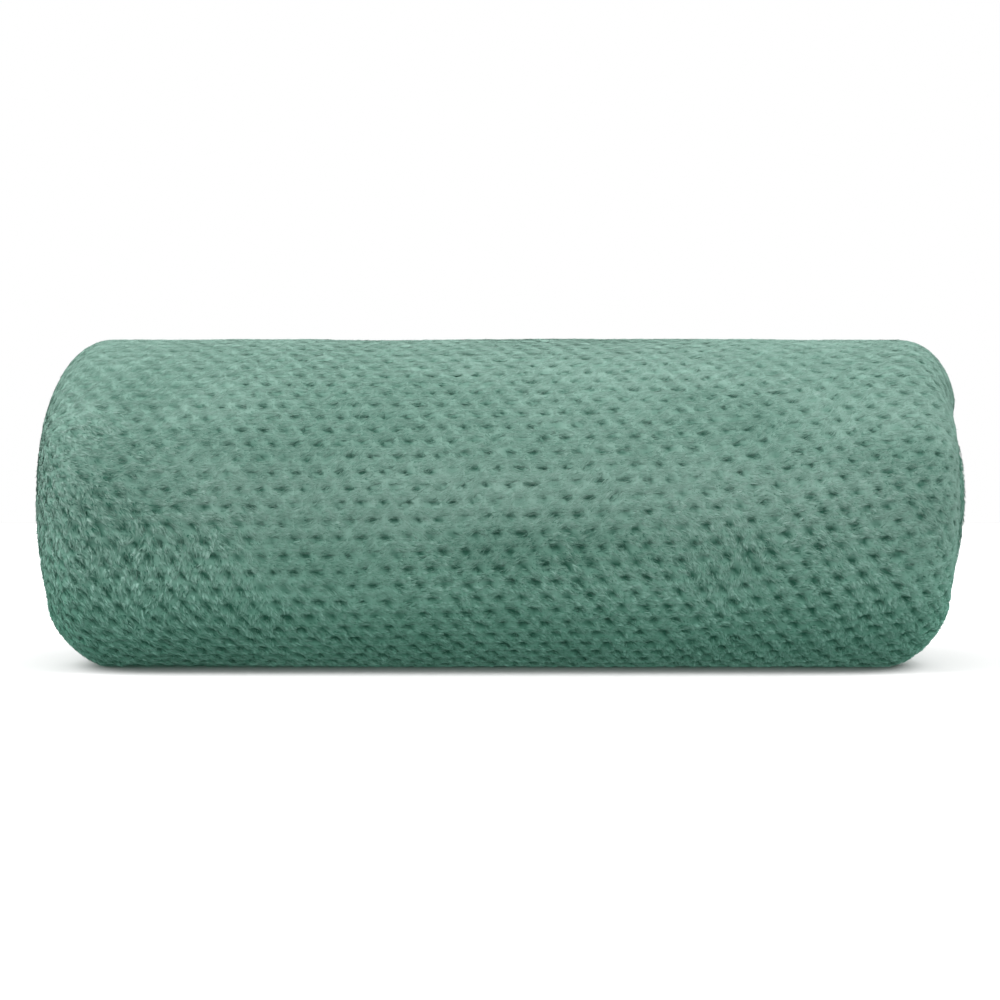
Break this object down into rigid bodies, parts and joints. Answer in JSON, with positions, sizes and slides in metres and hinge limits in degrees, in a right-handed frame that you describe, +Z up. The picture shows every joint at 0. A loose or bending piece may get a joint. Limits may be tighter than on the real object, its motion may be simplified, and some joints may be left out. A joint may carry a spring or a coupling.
{
  "type": "rolled flannel blanket",
  "caption": "Plush flannel blanket with an all-over dimple emboss, folded lengthwise and rolled into a soft oval roll with rounded ends and a flat resting base.",
  "frame": {"origin": "on the resting surface, under the middle of the roll", "axes": "+X along the roll, +Y from its front to its back, +Z up"},
  "size_m": [0.4814, 0.236, 0.1739],
  "materials": {
    "plush_flannel": "dimple-embossed plush pile, matt with a soft sheen"
  },
  "bodies": {
    "root": {"blanket_roll": "plush_flannel"}
  },
  "joints": []
}
